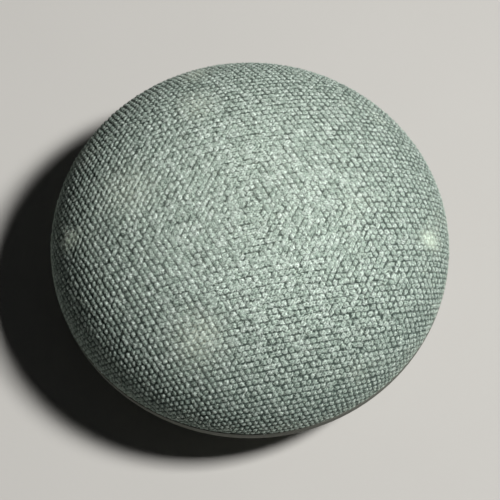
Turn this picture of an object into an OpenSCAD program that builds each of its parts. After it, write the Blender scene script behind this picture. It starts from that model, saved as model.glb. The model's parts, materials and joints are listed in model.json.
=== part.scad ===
// Round smart speaker: a moulded base and a perforated dome in a knitted cover,
// with an upward-firing driver, its electronics, a mute slider and a reset button.
// Millimetres, +Z up, front at -Y, origin at the centre of the foot's underside.

/* [Body] */
// Widest diameter, at the seam between the knit cover and the base
body_d = 98; // [97.5:0.5:100]
// Overall height, from the resting surface to the top of the dome
body_h = 42; // [42:0.5:44]
// Height of the seam, where the body is widest
seam_z = 17.5; // [17.5:0.25:18.5]
// Fullness of the base's side, where 2 is an ellipse
base_fullness = 2.15; // [2.1:0.05:2.3]

/* [Base shell] */
// Wall thickness of the moulded base
base_wall = 2; // [1.8:0.1:2.1]
// Outer radius of the flat ring that the base ends in
base_flat_r = 38; // [37.8:0.1:38.6]
// Height of that flat ring above the resting surface
base_lift = 0.8; // [0.6:0.1:0.9]
// Thickness of the base's floor
floor_t = 2; // [1.9:0.1:2.1]
// Open joint between the base and the knit cover's hem
seam_gap = 0.25; // [0.15:0.05:0.4]
// Height of the locating tongue above the seam
tongue_h = 2; // [1.5:0.1:2.4]

/* [Foot pad] */
// Radius of the silicone foot
foot_r = 36.8; // [36.5:0.1:37]
// Thickness of the foot
foot_t = 1.8; // [1.6:0.1:1.8]
// Depth of the shallow dish in the middle of its underside
foot_dish = 0.3; // [0.2:0.05:0.4]

/* [Dome] */
// Thickness of the knitted cover
cover_t = 0.9; // [0.8:0.05:0.95]
// Wall thickness of the perforated dome under it
grille_wall = 1.6; // [1.4:0.05:1.6]
// Distance between neighbouring sound holes
hole_pitch = 3.4; // [3.2:0.1:4]
// Radius of a sound hole
hole_r = 0.95; // [0.8:0.05:1]
// Radius of the field of sound holes
hole_field_r = 23; // [21:0.5:24]

/* [Housing screws] */
// Radius of the circle that the four housing screws stand on
post_circle_r = 33; // [32.8:0.1:33.1]
// Outer radius of a post that a housing screw goes up into
post_r = 3.2; // [3:0.1:3.2]
// Radius of a housing screw's thread
housing_screw_r = 1.1; // [1:0.05:1.15]

/* [Driver] */
// Radius of the driver's flange
flange_r = 26; // [25.8:0.1:26]
// Radius of the voice coil's inner wall
coil_r = 8.55; // [8.5:0.05:8.6]
// Furthest that the cone moves up or down from rest
cone_travel = 1.5; // [1:0.1:1.5]
// Outer radius of the sealed back chamber
chamber_r = 27.2; // [27.1:0.1:27.3]

/* [Circuit boards] */
// Radius of the main board
board_r = 35.5; // [35:0.1:35.5]
// Thickness of the main board and the port board
board_t = 1.2; // [1:0.1:1.2]
// Radius of the circle that the three board screws stand on
board_screw_circle_r = 31.5; // [31:0.1:31.5]

/* [Power inlet] */
// Width of the inlet's steel shell
inlet_w = 7.6; // [7.4:0.1:7.8]
// Height of the inlet's steel shell
inlet_h = 3; // [2.8:0.1:3.1]
// Depth of the inlet's steel shell
inlet_depth = 6; // [5.5:0.1:6]

/* [Mute slider] */
// Direction of the slider from the centre, anticlockwise from +X
mute_azimuth = 70; // [68:1:71]
// Travel from microphones on to microphones off
mute_travel = 3; // [2:0.1:3]
// Width of the part that a fingertip pushes
mute_pad_w = 4.4; // [4:0.1:4.4]
// Height of that part
mute_pad_h = 2.4; // [2:0.1:2.4]

/* [Reset button] */
// Distance of the button from the centre
reset_circle_r = 22; // [21:0.5:22]
// Direction of the button from the centre, anticlockwise from +X
reset_azimuth = 60; // [58:1:64]
// Radius of the button's stem
reset_r = 1.2; // [1.1:0.05:1.2]
// Travel of the button
reset_travel = 0.4; // [0.3:0.05:0.4]

/* [Hidden] */
$fn = 96;

// Smallest gap between faces that meet, and the running fit of a sliding pin
touch = 0.05;
fit = 0.05;
// Extra length of a cutting tool past the face that it cuts
over = 1;
// Bands that the curved walls are turned in
bands = 28;

// The base and the dome: semi-axes of the curves around the seam's centre
body_r = body_d / 2;
dome_b = body_h - seam_z;
shell_a = body_r - cover_t - touch;
shell_b = dome_b - cover_t - touch;
shell_in_a = shell_a - grille_wall;
shell_in_b = shell_b - grille_wall;
base_b = (seam_z - base_lift) / pow(1 - pow(base_flat_r / body_r, base_fullness), 1 / base_fullness);
pocket_z = foot_t;
floor_z = pocket_z + floor_t;
hem_t = cover_t - 0.15;
hem_in_r = shell_in_a + 0.1;
tongue_out_r = shell_in_a - 0.4;
tongue_in_r = tongue_out_r - 1.4;
seal_in_r = tongue_out_r + 0.4;
seal_w = 1.2;
seal_t = 0.75;

// Heights of the stack, from the base's floor up
board_z = floor_z + 4.8;
board_top_z = board_z + board_t;
chip_top_z = board_top_z + 1.3;
pad_t = 0.6;
spreader_z = board_top_z + 2.4;
spreader_t = 1;
chamber_z = spreader_z + spreader_t;
chamber_floor_t = 1.6;
yoke_z = chamber_z + 2.8;
yoke_h = 7;
basket_z = yoke_z + yoke_h;
flange_z = basket_z + 9.6;
flange_t = 1.6;
ledge_z = flange_z + 1;
landing_t = 0.4;
light_board_t = 0.8;
light_board_z = flange_z + 3.6;
light_board_top_z = light_board_z + light_board_t;

// Housing posts and screws
post_azimuths = [45, 135, 225, 315];
boss_top_z = floor_z + 4.2;
screw_head_r = 2.1;
screw_head_h = 1.4;
head_seat_z = floor_z - 0.4;
housing_screw_top_z = 16;

// Board screws
board_screw_azimuths = [20, 160, 270];
board_screw_r = 0.95;
board_screw_head_r = 1.8;
board_screw_head_h = 1.1;

// Ports at the back
port_board_r = 43.6;
main_board_back_y = 29.5;
port_board_x = [-15, 20];
port_board_y = 30.2;
port_pin_r = 0.95;
port_pins = [[-11.5, 33.5], [9.5, 33.5]];
inlet_mouth_y = side_r(board_top_z + inlet_h / 2) - 0.45;
inlet_wall = 0.35;

// Mute slider, in a frame turned to mute_azimuth: X outward, Y along the travel
mute_z = board_top_z + 0.4;
mute_rest_y = -mute_travel / 2;
mute_flange_x = 42.6;
mute_flange_t = 1;
mute_flange_z = board_top_z + 0.15;
mute_flange_h = 2.9;
mute_flag_w = mute_travel;
mute_face_x = side_r(mute_z + mute_pad_h / 2);
mute_clearance = 0.15;
switch_x = 37;
switch_d = 4;
lever_w = 1.2;

// Reset button: where its stem meets the switch's plunger
plunger_z = board_z - 2.1;
plunger_r = 0.7;

// Driver
pole_r = 8;
gap_out_r = 9.55;
yoke_r = 12.5;
yoke_floor_t = 2;
magnet_r = 7.6;
magnet_h = 3;
former_t = 0.2;
former_z = yoke_z + yoke_floor_t + cone_travel + 0.7;
winding_r = 9.2;
neck_z = basket_z + 5.4;
cone_r = 17.2;
cone_t = 0.4;
rim_z = ledge_z - landing_t;
roll_r = 1.6;
roll_mid_r = 18.8;
surround_r = 21.9;
spider_z = basket_z + 2.4;
driver_screw_circle_r = 24.2;
driver_screw_r = 0.8;

// The lead from the driver to the main board, at the front
lead_y = -18.6;
lead_r = 0.55;
lead_gap = 1.3;
connector_h = 1.8;
low_connector_h = 1.2;

// Lights and microphones, in a row along X under the top of the dome
light_xs = [-9.6, -3.2, 3.2, 9.6];
microphone_xs = [-13.5, 13.5];
stake_xs = [-6.4, 6.4];
light_strip = [38, 5];

// Touch electrodes on the dome's inner wall, left and right
electrode_t = 0.2;
electrode_span = 38;
electrode_from = 26;
electrode_to = 50;
flex_t = 0.2;
flex_w = 4;
top_flex_x = 28.3;

// Radius of the base's outer wall at a height
function side_r(z) =
    body_r * pow(1 - pow((seam_z - z) / base_b, base_fullness), 1 / base_fullness);
// Angle along a superellipse of semi-height b at which it lies that far below the seam
function drop_angle(b, drop) = asin(pow(drop / b, base_fullness / 2));
// Points of a side curve, from one drop below the seam to another
function side_points(a, b, from, to) = [
    for (i = [0:bands])
        let (t = drop_angle(b, from) + (drop_angle(b, to) - drop_angle(b, from)) * i / bands)
        [a * pow(cos(t), 2 / base_fullness), seam_z - b * pow(sin(t), 2 / base_fullness)]
];
// Points of a dome's curve, between two angles above the seam
function dome_points(a, b, from, to) = [
    for (i = [0:bands]) let (t = from + (to - from) * i / bands) [a * cos(t), seam_z + b * sin(t)]
];
// Height of a dome's curve at a radius
function dome_z(a, b, r) = seam_z + b * sqrt(1 - pow(r / a, 2));
// Points of a round arc
function arc_points(x, y, r, from, to, steps) = [
    for (i = [0:steps]) let (t = from + (to - from) * i / steps) [x + r * cos(t), y + r * sin(t)]
];
function reverse(list) = [for (i = [len(list) - 1:-1:0]) list[i]];

module at(r, azimuth) {
    rotate([0, 0, azimuth]) translate([r, 0, 0]) children();
}

module tube(out_r, in_r, z, h) {
    difference() {
        translate([0, 0, z]) cylinder(r = out_r, h = h);
        translate([0, 0, z - over]) cylinder(r = in_r, h = h + 2 * over);
    }
}

// A box on X and Y that starts at z
module slab(w, d, z, h) {
    translate([-w / 2, -d / 2, z]) cube([w, d, h]);
}

// A solid of the dome's form, down to the plane z
module dome_solid(a, b, z) {
    rotate_extrude() polygon(concat([[0, z], [a, z]], dome_points(a, b, 0, 90)));
}

// Points moved sideways from a path by d, with mitred corners
function beside(points, d) = [
    for (i = [0:len(points) - 1])
        let (
            before = points[max(i, 1)] - points[max(i, 1) - 1],
            after = points[min(i + 1, len(points) - 1)] - points[min(i + 1, len(points) - 1) - 1],
            sum = before / norm(before) + after / norm(after),
            along = sum / norm(sum),
            reach = d / (along * after / norm(after))
        )
        points[i] + reach * [-along[1], along[0]]
];

// A strip of constant thickness along points in the X-Z plane, as wide along Y as w
module strip(points, w, t) {
    translate([0, w / 2, 0]) rotate([90, 0, 0]) linear_extrude(w)
        polygon(concat(beside(points, t / 2), reverse(beside(points, -t / 2))));
}

// A screw that stands on its point at z and ends in a round head with a cross recess
module screw(r, z, length, head_r, head_h) {
    recess_d = head_h * 0.6;
    difference() {
        union() {
            translate([0, 0, z]) cylinder(r1 = r * 0.5, r2 = r, h = r);
            translate([0, 0, z + r]) cylinder(r = r, h = length - r);
            translate([0, 0, z + length]) cylinder(r = head_r, h = head_h * 0.6);
            translate([0, 0, z + length + head_h * 0.6])
                cylinder(r1 = head_r, r2 = head_r * 0.75, h = head_h * 0.4);
        }
        for (turn = [0, 90]) rotate([0, 0, turn])
            slab(head_r * 1.1, head_r * 0.28, z + length + head_h - recess_d, recess_d + over);
    }
}

module foot_pad() {
    edge = 0.4;
    dish_r = foot_r - 7;
    color("#8f9489") difference() {
        rotate_extrude() polygon([
            [0, foot_dish], [dish_r - foot_dish, foot_dish], [dish_r, 0], [foot_r - edge, 0],
            [foot_r, edge], [foot_r, foot_t - touch], [0, foot_t - touch]
        ]);
        at(reset_circle_r, reset_azimuth) translate([0, 0, -over])
            cylinder(r = reset_r + 0.5, h = foot_t + 2 * over, $fn = 48);
    }
}

module base_profile() {
    groove = seal_t + touch;
    rim_z = seam_z - seam_gap;
    polygon(concat(
        side_points(body_r, base_b, seam_gap, seam_z - base_lift),
        [
            [foot_r + 0.15, base_lift], [foot_r + 0.15, pocket_z], [0, pocket_z], [0, floor_z]
        ],
        reverse(side_points(body_r - base_wall, base_b - base_wall, 4, seam_z - floor_z)),
        [
            [tongue_in_r, seam_z - 2], [tongue_in_r, seam_z + tongue_h],
            [tongue_out_r - 0.3, seam_z + tongue_h], [tongue_out_r, seam_z + tongue_h - 0.5],
            [tongue_out_r, rim_z], [seal_in_r, rim_z], [seal_in_r, rim_z - groove],
            [seal_in_r + seal_w, rim_z - groove], [seal_in_r + seal_w, rim_z]
        ]
    ));
}

module base_shell() {
    boss_r = post_r;
    rib_t = 1.2;
    ring_r = 15;
    color("#696c64") difference() {
        union() {
            rotate_extrude() base_profile();
            for (a = post_azimuths) {
                at(post_circle_r, a) translate([0, 0, floor_z - over])
                    cylinder(r = boss_r, h = boss_top_z - floor_z + over);
                rotate([0, 0, a]) translate([ring_r, -rib_t / 2, floor_z - over])
                    cube([post_circle_r - boss_r - ring_r + 0.4, rib_t, 1.6 + over]);
            }
            tube(ring_r + rib_t / 2, ring_r - rib_t / 2, floor_z - over, 1.6 + over);
            for (a = board_screw_azimuths) at(board_screw_circle_r, a)
                translate([0, 0, floor_z - over]) cylinder(r = 2.6, h = board_z - floor_z + over);
            for (p = port_pins) translate([p[0], p[1], floor_z - over]) {
                cylinder(r = 2, h = board_z - floor_z + over);
                cylinder(r = port_pin_r, h = board_top_z + 0.6 - floor_z + over);
            }
            at(reset_circle_r, reset_azimuth) tube(reset_r + 2.1, reset_r + 1.3, floor_z - over, 2 + over);
        }
        for (a = post_azimuths) at(post_circle_r, a) {
            translate([0, 0, -over]) cylinder(r = screw_head_r + 0.2, h = head_seat_z + over);
            translate([0, 0, -over]) cylinder(r = housing_screw_r + 0.2, h = boss_top_z + 2 * over);
        }
        for (a = board_screw_azimuths) at(board_screw_circle_r, a)
            translate([0, 0, floor_z + 0.6]) cylinder(r = board_screw_r + 0.02, h = board_z);
        at(reset_circle_r, reset_azimuth) translate([0, 0, -over])
            cylinder(r = reset_r + fit, h = floor_z + 2 * over, $fn = 48);
        translate([-inlet_w / 2 - 0.2, 42, board_top_z - 0.2]) cube([inlet_w + 0.4, 9, inlet_h + 0.4]);
        rotate([0, 0, mute_azimuth])
            translate([42, -(mute_pad_w + mute_travel) / 2 - mute_clearance, mute_z - mute_clearance])
                cube([9, mute_pad_w + mute_travel + 2 * mute_clearance, mute_pad_h + 2 * mute_clearance]);
    }
}

module knit_cover() {
    in_a = shell_a + touch;
    in_b = shell_b + touch;
    start = asin(hem_t / in_b);
    color("#93a093") rotate_extrude() polygon(concat(
        dome_points(body_r, dome_b, 0, 90),
        reverse(dome_points(in_a, in_b, start, 90)),
        [[hem_in_r, seam_z + hem_t], [hem_in_r, seam_z]]
    ));
}

// Centres of the sound holes: a triangular grid that leaves room for the row of lights
function sound_holes() = [
    for (row = [-8:8])
        for (column = [-9:9])
            let (p = [(column + (row % 2 == 0 ? 0 : 0.5)) * hole_pitch, row * hole_pitch * sin(60)])
            if (norm(p) < hole_field_r && (abs(p[1]) > 3.2 || abs(p[0]) > 17)) p
];

module grille_shell() {
    start = asin((hem_t + touch) / shell_b);
    start_in = asin((hem_t + touch) / shell_in_b);
    mid = grille_wall / 2;
    color("#3b3f3c") difference() {
        union() {
            rotate_extrude() polygon(concat(
                dome_points(shell_a, shell_b, start, 90),
                reverse(dome_points(shell_in_a, shell_in_b, start_in, 90))
            ));
            intersection() {
                union() {
                    for (a = post_azimuths) at(post_circle_r, a)
                        translate([0, 0, boss_top_z + touch]) cylinder(r = post_r, h = body_h);
                    for (x = stake_xs) translate([x, 0, light_board_z - 0.4])
                        cylinder(r = 0.8, h = body_h, $fn = 32);
                }
                dome_solid(shell_a - mid, shell_b - mid, 0);
            }
        }
        for (p = sound_holes()) translate([p[0], p[1], light_board_z - 6])
            cylinder(r = hole_r, h = body_h, $fn = 24);
        for (x = light_xs) translate([x, 0, light_board_z]) cylinder(r = 1.1, h = body_h, $fn = 32);
        for (x = microphone_xs) translate([x, 0, light_board_z]) cylinder(r = 0.5, h = body_h, $fn = 24);
        for (a = post_azimuths) at(post_circle_r, a)
            cylinder(r = housing_screw_r + 0.02, h = housing_screw_top_z + 2);
    }
}

module shell_seal() {
    color("#202221") tube(seal_in_r + seal_w - touch, seal_in_r + touch,
        seam_z - seam_gap - seal_t, seal_t + seam_gap - touch);
}

// The heads point down, under the foot pad
module housing_screws() {
    length = housing_screw_top_z - head_seat_z;
    color("#b9bcbc") for (a = post_azimuths) at(post_circle_r, a)
        translate([0, 0, housing_screw_top_z]) mirror([0, 0, 1])
            screw(housing_screw_r, 0, length, screw_head_r, screw_head_h);
}

module main_board() {
    back = board_r - main_board_back_y;
    color("#1f5b3c") difference() {
        translate([0, 0, board_z]) cylinder(r = board_r, h = board_t);
        translate([-board_r, main_board_back_y, board_z - over])
            cube([2 * board_r, back + over, board_t + 2 * over]);
        for (a = post_azimuths) at(post_circle_r, a)
            translate([0, 0, board_z - over]) cylinder(r = post_r + 0.5, h = board_t + 2 * over);
        for (a = board_screw_azimuths) at(board_screw_circle_r, a)
            translate([0, 0, board_z - over]) cylinder(r = board_screw_r + 0.2, h = board_t + 2 * over);
    }
}

module port_board() {
    color("#1f5b3c") difference() {
        intersection() {
            translate([0, 0, board_z]) cylinder(r = port_board_r, h = board_t);
            translate([port_board_x[0], port_board_y, board_z - over])
                cube([port_board_x[1] - port_board_x[0], body_r, board_t + 2 * over]);
        }
        for (p = port_pins) translate([p[0], p[1], board_z - over])
            cylinder(r = port_pin_r + fit, h = board_t + 2 * over, $fn = 48);
    }
}

// A flat cable with a connector at each end, over the gap between the two boards
module board_link() {
    w = 9;
    socket_d = 3;
    color("#d9d4c4") {
        for (y = [main_board_back_y - socket_d - 0.4, port_board_y + 0.4])
            translate([-w / 2 - 0.5, y, board_top_z]) cube([w + 1, socket_d, low_connector_h]);
        translate([-w / 2, main_board_back_y - 1, board_top_z + low_connector_h - 0.4])
            cube([w, 3, flex_t]);
    }
}

module power_inlet() {
    back_y = inlet_mouth_y - inlet_depth;
    color("#c2c4c4") difference() {
        translate([-inlet_w / 2, back_y, board_top_z]) cube([inlet_w, inlet_depth, inlet_h]);
        translate([-inlet_w / 2 + inlet_wall, back_y + inlet_wall, board_top_z + inlet_wall])
            cube([inlet_w - 2 * inlet_wall, inlet_depth, inlet_h - 2 * inlet_wall]);
    }
}

module inlet_tongue() {
    tongue_w = 3.8;
    tongue_t = 0.8;
    tongue_l = 4.2;
    back_y = inlet_mouth_y - inlet_depth + inlet_wall + touch;
    block_w = inlet_w - 2 * inlet_wall - 2 * touch;
    block_h = inlet_h - 2 * inlet_wall - 2 * touch;
    block_z = board_top_z + inlet_wall + touch;
    contact_w = 0.35;
    color("#1b1c1c") {
        translate([-block_w / 2, back_y, block_z]) cube([block_w, 1, block_h]);
        translate([-tongue_w / 2, back_y, block_z + block_h / 2]) cube([tongue_w, tongue_l, tongue_t]);
        for (i = [-2:2]) translate([i * 0.65 - contact_w / 2, back_y, block_z + block_h / 2 - 0.12])
            cube([contact_w, tongue_l - 0.4, 0.2]);
    }
}

module mute_slider() {
    pad_back_x = mute_flange_x + mute_flange_t;
    ridge_w = 0.5;
    side = 0.6;
    flange_y = -mute_pad_w / 2 - mute_flag_w - 0.7;
    color("#6f726a") rotate([0, 0, mute_azimuth]) translate([0, mute_rest_y, 0]) {
        translate([mute_flange_x, flange_y, mute_flange_z])
            cube([mute_flange_t, mute_pad_w / 2 + side + 3 - flange_y - mute_pad_w / 2, mute_flange_h]);
        translate([pad_back_x - 0.2, -mute_pad_w / 2, mute_z])
            cube([mute_face_x - pad_back_x + 0.2, mute_pad_w, mute_pad_h]);
        for (i = [-1:1]) translate([mute_face_x - 0.3, i * 1.3 - ridge_w / 2, mute_z + 0.2])
            cube([0.65, ridge_w, mute_pad_h - 0.4]);
        for (s = [-1, 1])
            translate([switch_x + switch_d + 0.5, s * (lever_w / 2 + fit + side / 2) - side / 2, mute_z + 0.3])
                cube([mute_flange_x - switch_x - switch_d - 0.4, side, 1.8]);
    }
}

// Bright strip that the slot uncovers when the microphones are off
module mute_flag() {
    color("#e0662a") rotate([0, 0, mute_azimuth])
        translate([
            mute_flange_x + mute_flange_t, mute_rest_y - mute_pad_w / 2 - mute_flag_w - 0.1, mute_z - 0.1
        ]) cube([0.25, mute_flag_w, mute_pad_h + 0.2]);
}

module mute_switch_body() {
    w = 9;
    h = 3;
    slot = mute_travel + lever_w + 0.3;
    color("#2a2b2b") rotate([0, 0, mute_azimuth]) difference() {
        translate([switch_x, -w / 2, board_top_z]) cube([switch_d, w, h]);
        translate([switch_x + switch_d - 1.6, -slot / 2, mute_z + 0.6]) cube([3, slot, 1.2]);
    }
}

module mute_switch_lever() {
    lever_x = switch_x + switch_d - 1.4;
    color("#d8d8d2") rotate([0, 0, mute_azimuth])
        translate([lever_x, mute_rest_y - lever_w / 2, mute_z + 0.7])
            cube([mute_flange_x - touch - lever_x, lever_w, 1]);
}

module reset_button() {
    face_z = 0.9;
    collar_z = floor_z + touch;
    color("#6f726a") at(reset_circle_r, reset_azimuth) {
        translate([0, 0, face_z]) cylinder(r = reset_r, h = plunger_z - face_z, $fn = 48);
        translate([0, 0, collar_z]) cylinder(r = reset_r + 1, h = 0.8, $fn = 48);
    }
}

module reset_plunger() {
    color("#d8d8d2") at(reset_circle_r, reset_azimuth)
        translate([0, 0, plunger_z]) cylinder(r = plunger_r, h = 1.1, $fn = 32);
}

module reset_switch_body() {
    switch_z = plunger_z + 0.5;
    color("#2a2b2b") at(reset_circle_r, reset_azimuth) difference() {
        slab(3.4, 3.4, switch_z, board_z - switch_z);
        translate([0, 0, switch_z - over])
            cylinder(r = plunger_r + fit, h = over + 0.7 + reset_travel, $fn = 32);
    }
}

module processor() {
    color("#26282a") translate([0, 2, 0]) slab(12, 12, board_top_z, chip_top_z - board_top_z);
}

module memory_chip() {
    color("#26282a") translate([15, 5, 0]) slab(9, 11, board_top_z, 1);
}

module radio_chip() {
    color("#26282a") translate([-17, 0, 0]) slab(7, 7, board_top_z, 0.8);
}

module radio_shield() {
    can = [14, 12, 1.6];
    wall = 0.25;
    color("#c2c4c4") translate([-17, 0, 0]) difference() {
        slab(can[0], can[1], board_top_z, can[2]);
        slab(can[0] - 2 * wall, can[1] - 2 * wall, board_top_z - over, can[2] - wall + over);
    }
}

module audio_amplifier() {
    color("#26282a") translate([-6, -15, 0]) slab(6, 6, board_top_z, 0.9);
}

module capacitors() {
    color("#b9bcbc") {
        for (x = [-9, -4]) translate([x, 37.5, board_top_z]) {
            cylinder(r = 2, h = 4.6, $fn = 48);
            slab(4.4, 4.4, 0, 0.5);
        }
        for (x = [-20, -15, 14, 19]) translate([x, -12, board_top_z]) cylinder(r = 1.6, h = 2, $fn = 48);
    }
}

module inductors() {
    color("#4a4c4e") for (p = [[9, -10], [9, -16]]) translate([p[0], p[1], 0]) {
        slab(5, 5, board_top_z, 1.2);
        translate([0, 0, board_top_z + 1.2]) cylinder(r = 2.2, h = 0.7, $fn = 48);
    }
}

// Bent strip aerials that stand on the edge of the main board
module antennas() {
    color("#d3c9a4") for (a = [200, 335]) at(33.6, a) {
        translate([-0.2, -4, board_top_z]) cube([0.4, 8, 5]);
        translate([-3, -4, board_top_z + 4.6]) cube([3, 8, 0.4]);
    }
}

module thermal_pad() {
    color("#8fa6c2") translate([0, 2, 0]) slab(11, 11, chip_top_z, pad_t);
}

module heat_spreader() {
    plate_r = 28.7;
    tab_r = 3.2;
    leg_r = 2.5;
    color("#b6b9ba") difference() {
        union() {
            translate([0, 0, spreader_z]) cylinder(r = plate_r, h = spreader_t);
            translate([0, 2, 0]) slab(13, 13, chip_top_z + pad_t, spreader_z - chip_top_z - pad_t + touch);
            for (a = board_screw_azimuths) at(board_screw_circle_r, a) {
                translate([0, 0, board_top_z]) cylinder(r = leg_r, h = spreader_z - board_top_z + 0.5);
                translate([0, 0, spreader_z]) cylinder(r = tab_r, h = spreader_t);
            }
        }
        for (a = board_screw_azimuths) at(board_screw_circle_r, a)
            cylinder(r = board_screw_r + 0.2, h = chamber_z + over);
        translate([top_flex_x - 0.8, -3.4, 0]) cube([5, 6.8, chamber_z + over]);
        translate([0, lead_y, 0]) cylinder(r = 3, h = chamber_z + over, $fn = 48);
    }
}

module board_screws() {
    tip_z = floor_z + 1.2;
    color("#b9bcbc") for (a = board_screw_azimuths) at(board_screw_circle_r, a)
        screw(board_screw_r, tip_z, chamber_z - tip_z, board_screw_head_r, board_screw_head_h);
}

module speaker_chamber() {
    wall = 1.8;
    step_r = flange_r + 0.15;
    ledge_r = flange_r - 1.6;
    ear_z = chamber_z + 7;
    ear_t = 2;
    color("#2d302e") difference() {
        union() {
            rotate_extrude() polygon([
                [0, chamber_z], [chamber_r - 1, chamber_z], [chamber_r, chamber_z + 1],
                [chamber_r, ledge_z + 0.4], [step_r, ledge_z + 0.4], [step_r, flange_z],
                [ledge_r, flange_z], [ledge_r, flange_z - 1], [chamber_r - wall, flange_z - 2.2],
                [chamber_r - wall, chamber_z + chamber_floor_t + 1],
                [chamber_r - wall - 1, chamber_z + chamber_floor_t], [0, chamber_z + chamber_floor_t]
            ]);
            for (a = post_azimuths) {
                at(driver_screw_circle_r, a) translate([0, 0, flange_z - 8]) cylinder(r = 1.7, h = 7.4);
                at(post_circle_r, a) translate([0, 0, ear_z]) cylinder(r = post_r + 1.8, h = ear_t);
                rotate([0, 0, a]) translate([chamber_r - 1, -2.5, ear_z])
                    cube([post_circle_r - chamber_r, 5, ear_t]);
            }
        }
        for (a = post_azimuths) {
            at(driver_screw_circle_r, a) translate([0, 0, flange_z - 7])
                cylinder(r = driver_screw_r + 0.02, h = 8, $fn = 48);
            at(post_circle_r, a) translate([0, 0, ear_z - over]) cylinder(r = post_r + 0.1, h = ear_t + 2 * over);
        }
        translate([0, lead_y, chamber_z - over]) cylinder(r = 2.4, h = chamber_floor_t + 2 * over, $fn = 48);
    }
}

module basket() {
    seat_r = 13.8;
    wall_r = 15.4;
    color("#4b4e50") difference() {
        rotate_extrude() polygon([
            [gap_out_r + 0.15, basket_z], [wall_r, basket_z], [wall_r + 0.9, spider_z],
            [surround_r - 0.6, flange_z], [flange_r, flange_z], [flange_r, flange_z + flange_t],
            [surround_r + 0.3, flange_z + flange_t], [surround_r + 0.3, ledge_z],
            [roll_mid_r + roll_r - 0.1, ledge_z], [roll_mid_r + roll_r - 0.1, ledge_z - 0.5],
            [wall_r - 0.3, spider_z], [seat_r, spider_z], [seat_r, basket_z + 1],
            [gap_out_r + 0.15, basket_z + 1]
        ]);
        for (a = [0:90:270]) rotate([0, 0, a])
            translate([seat_r, -5.5, spider_z + 0.8]) cube([flange_r - seat_r, 11, 5]);
        for (a = post_azimuths) at(driver_screw_circle_r, a)
            translate([0, 0, flange_z - over]) cylinder(r = driver_screw_r + 0.15, h = flange_t + 2 * over, $fn = 48);
    }
}

module yoke() {
    color("#a9acad") difference() {
        translate([0, 0, yoke_z]) cylinder(r = yoke_r, h = yoke_h);
        translate([0, 0, yoke_z + yoke_floor_t]) cylinder(r = gap_out_r, h = yoke_h);
    }
}

module magnet() {
    color("#8d9092") translate([0, 0, yoke_z + yoke_floor_t]) cylinder(r = magnet_r, h = magnet_h);
}

module pole_plate() {
    z = yoke_z + yoke_floor_t + magnet_h;
    color("#a9acad") translate([0, 0, z]) cylinder(r = pole_r, h = basket_z - z);
}

module coil_former() {
    color("#c9a15a") tube(coil_r + former_t, coil_r, former_z, neck_z - former_z);
}

module coil_winding() {
    z = former_z + 0.4;
    color("#b5652f") tube(winding_r, coil_r + former_t, z, basket_z + 0.4 - z);
}

module cone() {
    in_r = coil_r;
    color("#3a3b3a") rotate_extrude() polygon([
        [in_r, neck_z], [in_r + 0.7, neck_z], [cone_r - 1.4, rim_z], [cone_r, rim_z],
        [cone_r, rim_z + cone_t - touch], [cone_r - 1.6, rim_z + cone_t - touch],
        [in_r + 0.4, neck_z + cone_t], [in_r, neck_z + cone_t]
    ]);
}

module dust_cap() {
    z = neck_z + cone_t;
    r = coil_r + 0.4;
    rise = 2.6;
    t = 0.3;
    ball_r = (r * r + rise * rise) / (2 * rise);
    edge = asin((ball_r - rise) / ball_r);
    steps = 12;
    color("#303130") rotate_extrude() polygon(concat(
        arc_points(0, z - ball_r + rise, ball_r, edge, 90, steps),
        reverse(arc_points(0, z - ball_r + rise - t, ball_r, edge + 2, 90, steps)),
        [[r - 1.2, z]]
    ));
}

module surround() {
    z = ledge_z + touch;
    steps = 16;
    color("#1d1e1e") rotate_extrude() polygon(concat(
        [[surround_r, z], [surround_r, z + landing_t]],
        arc_points(roll_mid_r, z + landing_t, roll_r, 0, 180, steps),
        [[cone_r - 1.2, z + landing_t], [cone_r - 1.2, z]],
        reverse(arc_points(roll_mid_r, z, roll_r - landing_t, 0, 180, steps))
    ));
}

module spider() {
    in_r = coil_r + former_t + touch;
    out_r = 15;
    t = 0.3;
    wave = 0.35;
    waves = 3;
    steps = 24;
    top = [
        for (i = [0:steps]) let (u = i / steps)
            [in_r + 0.6 + (out_r - 2.4 - in_r) * u, spider_z + touch + t + wave * (1 - cos(360 * waves * u))]
    ];
    bottom = [for (p = top) [p[0], p[1] - t]];
    z = spider_z + touch;
    color("#c8a860") rotate_extrude() polygon(concat(
        [[in_r, z], [in_r, z + t]], top, [[out_r - 0.1, z + t], [out_r - 0.1, z]], reverse(bottom)
    ));
}

module speaker_gasket() {
    z = ledge_z + landing_t + 2 * touch;
    color("#1a1b1b") tube(surround_r + 0.2, surround_r - 1.2, z, flange_z + 3.6 - z);
}

module terminal_strip() {
    color("#b59a62") translate([0, lead_y + 2, 0]) difference() {
        slab(7, 6, basket_z - 0.8, 0.8);
        for (x = [-2.6, 2.6]) translate([x, -2, 0]) cylinder(r = 0.4, h = body_h, $fn = 24);
    }
}

module speaker_leads() {
    z = board_top_z + connector_h;
    color("#9a2b2b") for (s = [-1, 1]) translate([s * lead_gap, lead_y, z])
        cylinder(r = lead_r, h = basket_z - 0.8 - z, $fn = 32);
}

module lead_grommet() {
    color("#1a1b1b") translate([0, lead_y, 0]) difference() {
        union() {
            translate([0, 0, chamber_z]) cylinder(r = 2.38, h = chamber_floor_t, $fn = 48);
            translate([0, 0, chamber_z + chamber_floor_t]) cylinder(r = 3.2, h = 0.6, $fn = 48);
        }
        for (s = [-1, 1]) translate([s * lead_gap, 0, 0]) cylinder(r = lead_r + 0.02, h = body_h, $fn = 32);
    }
}

module board_connectors() {
    color("#e4dfd0") {
        translate([0, lead_y, 0]) slab(5.6, 3, board_top_z, connector_h);
        translate([top_flex_x, 0, 0]) slab(3, 6, board_top_z, low_connector_h);
        for (a = [0, 180]) at(33.4, a) slab(2.2, 5, board_top_z, low_connector_h);
    }
}

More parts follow.
